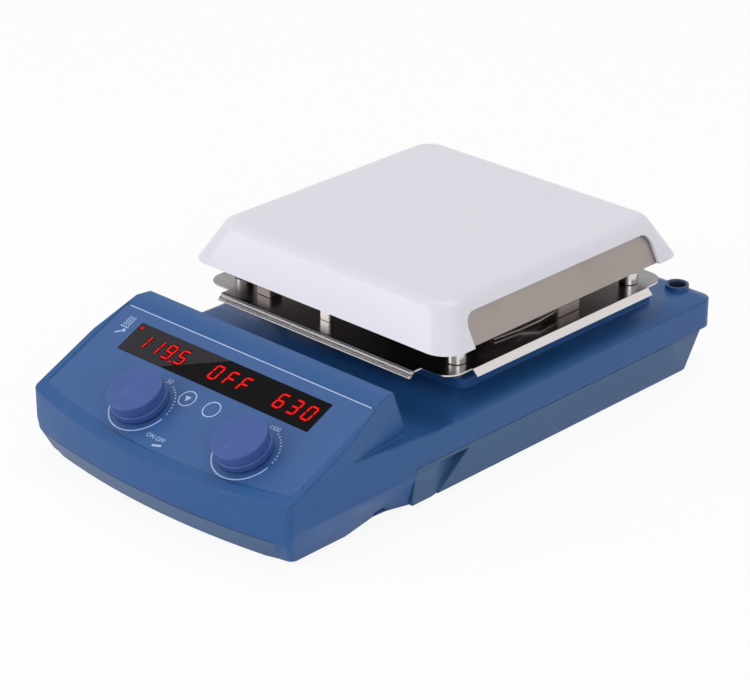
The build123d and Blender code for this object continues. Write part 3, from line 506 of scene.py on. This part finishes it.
def strap_piece(name, points, width, thick, slot):
    """A flat metal strap bent along a run of points."""
    mesh = bpy.data.meshes.new(name)
    shape = bmesh.new()
    rows = []
    points = [Vector(p) for p in points]
    for i, point in enumerate(points):
        ahead = points[min(i + 1, len(points) - 1)] - points[max(i - 1, 0)]
        side = Vector((-ahead.y, ahead.x, 0.0)).normalized() * (width / 2)
        rise = ahead.cross(side).normalized() * (thick / 2)
        rows.append([shape.verts.new(point + a + b) for a, b in (
            (side, rise), (-side, rise), (-side, -rise), (side, -rise))])
    for first, second in zip(rows, rows[1:]):
        for i in range(4):
            shape.faces.new((first[i], first[(i + 1) % 4], second[(i + 1) % 4], second[i]))
    shape.faces.new(rows[0][::-1])
    shape.faces.new(rows[-1])
    bmesh.ops.recalc_face_normals(shape, faces=shape.faces[:])
    shape.to_mesh(mesh)
    shape.free()
    mesh.materials.append(finishes[slot].material)
    piece = bpy.data.objects.new(name, mesh)
    bpy.context.scene.collection.objects.link(piece)
    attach(piece, "housing")


flange_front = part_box("heat_shield")[0].y
shield_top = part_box("heat_shield")[1].z
pan_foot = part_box("heater_pan")[0].z
block_top = shield_top + 0.007
box_piece("heater_terminal", (0.080, 0.058, shield_top), (0.092, 0.078, block_top), "satin_steel")
box_piece("front_stay", (-0.010, -0.040, shield_top), (-0.002, -0.036, pan_foot), "polished_steel")
box_piece("left_terminal", (-0.064, -0.040, shield_top), (-0.052, -0.030, block_top), "satin_steel")

for number, part_down in enumerate((0.0008, 0.0019, 0.0030)):
    rib_y = flange_front + 0.0037 - part_down
    rib_z = shield_top - part_down + 0.0001
    rib = [(x, rib_y, rib_z) for x in (-0.078, 0.0, 0.078)]
    strap_piece(f"flange_rib_{number}", rib, 0.0005, 0.0003, "polished_steel")

front_strap = [
    (0.088, 0.058, shield_top + 0.004), (0.090, 0.042, shield_top + 0.004),
    (0.086, 0.028, shield_top + 0.0012), (0.084, 0.008, shield_top + 0.0012)]
rear_strap = [
    (0.084, 0.058, shield_top + 0.006), (0.082, 0.040, shield_top + 0.006),
    (0.076, 0.026, pan_foot - 0.0006), (0.070, 0.012, pan_foot - 0.0006)]
strap_piece("heater_strap_front", front_strap, 0.004, 0.0010, "steel")
strap_piece("heater_strap_rear", rear_strap, 0.004, 0.0010, "steel")


# Prints and lit figures on the panel

ink_thickness = 0.00004
print_level = film_top + 0.00002


def flat_piece(name, outlines, centre, lift, finish, body="housing"):
    """Thin print on the panel: each outline is a loop of (across, up) points round the centre."""
    mesh = bpy.data.meshes.new(name)
    shape = bmesh.new()
    for outline in outlines:
        base = []
        for u, v in outline:
            point = centre + across_panel * u + up_panel * v + out_of_panel * lift
            base.append(shape.verts.new(point))
        face = shape.faces.new(base)
        if face.normal.dot(out_of_panel) < 0:
            face.normal_flip()
    shape.normal_update()
    raised = bmesh.ops.extrude_face_region(shape, geom=shape.faces[:])
    bmesh.ops.translate(shape, vec=out_of_panel * ink_thickness, verts=[
        part for part in raised["geom"] if isinstance(part, bmesh.types.BMVert)])
    bmesh.ops.recalc_face_normals(shape, faces=shape.faces[:])
    shape.to_mesh(mesh)
    shape.free()
    mesh.materials.append(finish.material)
    piece = bpy.data.objects.new(name, mesh)
    bpy.context.scene.collection.objects.link(piece)
    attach(piece, body)


def band(start, end, radius, width, steps):
    """A curved strip as one closed outline; angles in degrees, anticlockwise."""
    angles = [math.radians(start + (end - start) * i / steps) for i in range(steps + 1)]
    far, near = radius + width / 2, radius - width / 2
    outer = [(far * math.cos(a), far * math.sin(a)) for a in angles]
    inner = [(near * math.cos(a), near * math.sin(a)) for a in reversed(angles)]
    return outer + inner


def ring(radius, width, steps=48):
    """A full ring, as strips that meet."""
    pieces = 12
    each = 360.0 / pieces
    return [band(i * each, (i + 1) * each, radius, width, steps // pieces) for i in range(pieces)]


def dot(u, v, radius, sides=12):
    """A small round spot."""
    return [(u + radius * math.cos(math.tau * i / sides), v + radius * math.sin(math.tau * i / sides))
            for i in range(sides)]


def stroke(u1, v1, u2, v2, width):
    """A straight line of some width, ends square."""
    along = Vector((u2 - u1, v2 - v1)).normalized()
    side = Vector((-along.y, along.x)) * (width / 2)
    return [(u1 + side.x, v1 + side.y), (u1 - side.x, v1 - side.y),
            (u2 - side.x, v2 - side.y), (u2 + side.x, v2 + side.y)]


def print_finish():
    """Pale blue ink."""
    finish = Finish("panel_print", plain(178, 200, 242), 0.45)
    ink = finish.noise(1500.0, 2.0, 0.6)
    finish.set("Base Color", finish.blend(plain(150, 178, 228), plain(196, 214, 250), ink))
    finish.set("Roughness", 0.42 + ink * 0.1)
    return finish


def lit_finish(name, dim, bright):
    """A lit stroke: red, a little uneven along its length."""
    finish = Finish(name, plain(10, 1, 2), 0.5, Specular_IOR_Level=0.0)
    core = finish.noise(900.0, 2.0)
    finish.glow(finish.blend(dim, bright, core), 1.0)
    return finish


ink_finish = print_finish()
figure_finish = lit_finish("lit_figures", plain(228, 22, 24), plain(255, 58, 50))
inner_glow = lit_finish("inner_glow", plain(116, 6, 10), plain(138, 10, 14))
outer_glow = lit_finish("outer_glow", plain(52, 3, 6), plain(64, 5, 8))

segments = {
    "0": "abcdef", "1": "bc", "3": "abgcd", "5": "afgcd", "6": "afgedc", "9": "abcdfg",
    "F": "aefg", "O": "abcdef",
}


def figure_strokes(sign, thick, gap, tall=0.0100, wide=0.0054, slant=0.09):
    """The strokes of one seven-stroke figure, as outlines with pointed ends."""
    half_w, half_t = wide / 2, tall / 2
    corners = {"tl": (-half_w, half_t), "tr": (half_w, half_t), "ml": (-half_w, 0.0),
               "mr": (half_w, 0.0), "bl": (-half_w, -half_t), "br": (half_w, -half_t)}
    ends = {"a": ("tl", "tr"), "b": ("tr", "mr"), "c": ("mr", "br"), "d": ("bl", "br"),
            "e": ("ml", "bl"), "f": ("tl", "ml"), "g": ("ml", "mr")}
    outlines = []
    for letter in segments[sign]:
        start, end = (Vector(corners[key]) for key in ends[letter])
        along = (end - start).normalized()
        side = Vector((-along.y, along.x)) * (thick / 2)
        tip = along * (thick / 2)
        start, end = start + along * gap, end - along * gap
        loop = [start, start + tip + side, end - tip + side, end, end - tip - side, start + tip - side]
        outlines.append([(p.x + p.y * slant, p.y) for p in loop])
    return outlines


def lit_figure(name, sign, middle):
    """A lit figure on the window with its two rings of glow, at a place across it."""
    centre = window_middle + across_panel * middle
    for part, thick, gap, lift, finish in (
            ("outer_glow", 0.0033, -0.0004, 0.00002, outer_glow),
            ("inner_glow", 0.0021, -0.0001, 0.00008, inner_glow),
            ("strokes", 0.0011, 0.00018, 0.00014, figure_finish)):
        flat_piece(f"{name}_{part}", figure_strokes(sign, thick, gap), centre, window_top + lift,
                   finish)


# The figures: each sign, and how far across the window its middle is
for number, (sign, middle) in enumerate((
        ("1", -0.0662), ("1", -0.0552), ("9", -0.0442), ("5", -0.0335),
        ("O", -0.0047), ("F", 0.0075), ("F", 0.0186),
        ("6", 0.0485), ("3", 0.0597), ("0", 0.0710))):
    lit_figure(f"figure_{number}", sign, middle)
for name, u, v, radius in (
        ("figure_point", -0.0387, -0.0058, 0.0007),
        ("heating_light", -0.0754, 0.0075, 0.0009)):
    flat_piece(name + "_glow", [dot(u, v, radius * 1.9)], window_middle, window_top + 0.00009,
               inner_glow)
    flat_piece(name, [dot(u, v, radius)], window_middle, window_top + 0.00014,
               figure_finish)

# The rings round the knobs: a long line, then dots up to the number
for name, centre in knob_centres.items():
    outlines = [band(100 + step * 25.0, 125 + step * 25.0, 0.0205, 0.0009, 10) for step in range(10)]
    for angle in range(2, 66, 7):
        a = math.radians(angle)
        outlines.append(dot(0.0203 * math.cos(a), 0.0203 * math.sin(a), 0.00055))
    flat_piece(f"{name}_ring", outlines, centre, print_level, ink_finish)


def panel_words(name, words, u, v, size, body="housing"):
    """Plain figures or ON and OFF, printed on the panel."""
    data = bpy.data.curves.new(name, "FONT")
    data.body = words
    data.size = size
    data.align_x, data.align_y = "CENTER", "CENTER"
    data.extrude = 0.00002
    data.materials.append(ink_finish.material)
    piece = bpy.data.objects.new(name, data)
    centre = window_middle + across_panel * u + up_panel * v + out_of_panel * (film_top + 0.00003)
    piece.matrix_world = Matrix.Translation(centre) @ Matrix((
        (across_panel.x, up_panel.x, out_of_panel.x, 0.0),
        (across_panel.y, up_panel.y, out_of_panel.y, 0.0),
        (across_panel.z, up_panel.z, out_of_panel.z, 0.0),
        (0.0, 0.0, 0.0, 1.0)))
    bpy.context.scene.collection.objects.link(piece)
    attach(piece, body)


panel_words("temperature_number", "50", -0.0269, -0.0176, 0.0046)
panel_words("speed_number", "1500", 0.0596, -0.0176, 0.0042)
panel_words("power_words", "ON OFF", -0.0029, -0.0545, 0.0040)

# The heating sign: three waves over a line
waves = []
for row in range(3):
    for step in range(6):
        u = -0.0878 + 0.0020 * (row - 1)
        low, high = 0.0052 + 0.0012 * step, 0.0052 + 0.0012 * (step + 1)
        swing = 0.0005 if step % 2 else -0.0005
        waves.append(stroke(u - swing, low, u + swing, high, 0.0006))
waves.append(stroke(-0.0912, 0.0040, -0.0844, 0.0040, 0.0007))
flat_piece("heating_sign", waves, window_middle, print_level, ink_finish)

probe = [stroke(-0.0905, -0.0022, -0.0862, 0.0012, 0.0011), dot(-0.0860, 0.0014, 0.0013)]
flat_piece("probe_sign", probe, window_middle, print_level, ink_finish)
push = [stroke(-0.0010, -0.0596, 0.0050, -0.0578, 0.0014)]
flat_piece("push_sign", push, window_middle, print_level, ink_finish)

# A fine pale line along the panel's upper edge, drawn in the ink: a painted highlight on the edge of the
# recess
upper_edge_highlight = [stroke(start, 0.0576, start + 0.1, 0.0576, 0.0008) for start in (-0.0675, 0.0325)]
flat_piece("panel_edge_highlight", upper_edge_highlight, knob_centres["temperature"], print_level, ink_finish)

# The rings round the two keys, and the arrow on the first
for name, centre in key_centres.items():
    flat_piece(f"{name}_ring", ring(0.0055, 0.0008), centre, print_level, ink_finish)
arrow = [(-0.0023, 0.0016), (0.0023, 0.0016), (0.0, -0.0024)]
flat_piece("select_arrow", [arrow], key_centres["select"], key_top + 0.00002, ink_finish,
           body="select_key_body")


# Floor, world, lamps

full_white = (1.0, 1.0, 1.0, 1.0)
part_middle = Vector((0.0, 0.0, 0.05))


def seen_directly(tree):
    """1 for camera, glossy and transmission rays, 0 for the rays that carry light."""
    path = tree.nodes.new("ShaderNodeLightPath")
    shown = Value(tree, path.outputs["Is Camera Ray"])
    for kind in ("Is Glossy Ray", "Is Transmission Ray"):
        shown = shown.work("MAXIMUM", Value(tree, path.outputs[kind]))
    return shown


def make_floor():
    """White paper on the bench that keeps the part's shadow."""
    mesh = bpy.data.meshes.new("floor")
    reach = 6.0
    corners = [(-reach, -reach, 0.0), (reach, -reach, 0.0), (reach, reach, 0.0), (-reach, reach, 0.0)]
    mesh.from_pydata(corners, [], [(0, 1, 2, 3)])
    floor = bpy.data.objects.new("floor", mesh)
    bpy.context.scene.collection.objects.link(floor)
    finish = Finish("floor_paper", plain(250, 250, 252), 0.9)
    paper = finish.noise(90.0, 3.0)
    finish.set("Base Color", finish.blend(plain(248, 248, 250), plain(255, 255, 255), paper))
    finish.set("Roughness", 0.85 + paper * 0.1)
    white = finish.node("ShaderNodeEmission", sockets={"Color": full_white, "Strength": 1.0})
    shown = seen_directly(finish.tree)
    both = finish.node("ShaderNodeMixShader", sockets={
        0: shown * 0.90, 1: finish.shader.outputs[0], 2: white.outputs[0]})
    finish.tree.links.new(both.outputs[0], finish.tree.nodes["Material Output"].inputs["Surface"])
    mesh.materials.append(finish.material)


def make_world():
    """A plain white studio: bright where it is seen, dimmer as a light."""
    world = bpy.data.worlds.new("studio")
    bpy.context.scene.world = world
    world.use_nodes = True
    tree = world.node_tree
    tree.nodes.clear()
    room = tree.nodes.new("ShaderNodeBackground")
    room.inputs["Color"].default_value = full_white
    room.inputs["Strength"].default_value = 0.42
    white = tree.nodes.new("ShaderNodeBackground")
    white.inputs["Color"].default_value = full_white
    white.inputs["Strength"].default_value = 1.0
    shown = seen_directly(tree)
    both = tree.nodes.new("ShaderNodeMixShader")
    tree.links.new(shown.socket, both.inputs[0])
    tree.links.new(room.outputs[0], both.inputs[1])
    tree.links.new(white.outputs[0], both.inputs[2])
    out = tree.nodes.new("ShaderNodeOutputWorld")
    tree.links.new(both.outputs[0], out.inputs["Surface"])


def soft_lamp(name, place, width, power):
    """A square softbox that faces the part."""
    data = bpy.data.lights.new(name, "AREA")
    data.shape = "RECTANGLE"
    data.size = width
    data.size_y = width
    data.energy = power
    lamp = bpy.data.objects.new(name, data)
    lamp.location = place
    lamp.rotation_mode = "QUATERNION"
    lamp.rotation_quaternion = (part_middle - Vector(place)).to_track_quat("-Z", "Y")
    bpy.context.scene.collection.objects.link(lamp)


make_floor()
make_world()
soft_lamp("left_softbox", (-1.3, -1.9, 1.1), 1.4, 20.0)
soft_lamp("right_softbox", (2.0, -1.2, 1.0), 1.2, 13.0)
soft_lamp("top_softbox", (0.0, 0.6, 2.4), 1.4, 16.0)

bpy.context.scene.view_settings.view_transform = "Standard"
